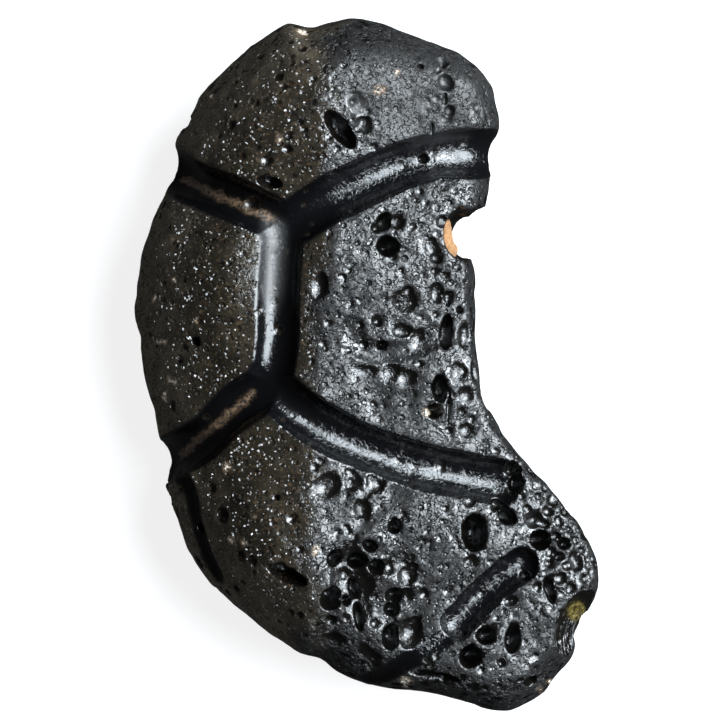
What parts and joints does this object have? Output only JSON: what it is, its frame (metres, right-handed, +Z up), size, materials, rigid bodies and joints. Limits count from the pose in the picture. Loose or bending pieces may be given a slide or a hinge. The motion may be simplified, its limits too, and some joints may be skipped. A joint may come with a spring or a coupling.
{
  "type": "tektite",
  "caption": "Kidney-shaped tektite: a lump of pitted natural black glass with U-shaped grooves across its face and a burst bubble in its edge.",
  "frame": {"origin": "middle of the underside: the centre of the body's box in X and Y, at the height of the worn face that it rests on", "axes": "+Z up out of the grooved face; +Y along the body's length towards the end with one groove; +X towards the concave edge"},
  "size_m": [0.0484, 0.0726, 0.0211],
  "materials": {
    "tektite_glass": "satin",
    "clay": "matte"
  },
  "bodies": {
    "root": {"tektite": "tektite_glass", "clay_infill": "clay"}
  },
  "joints": []
}
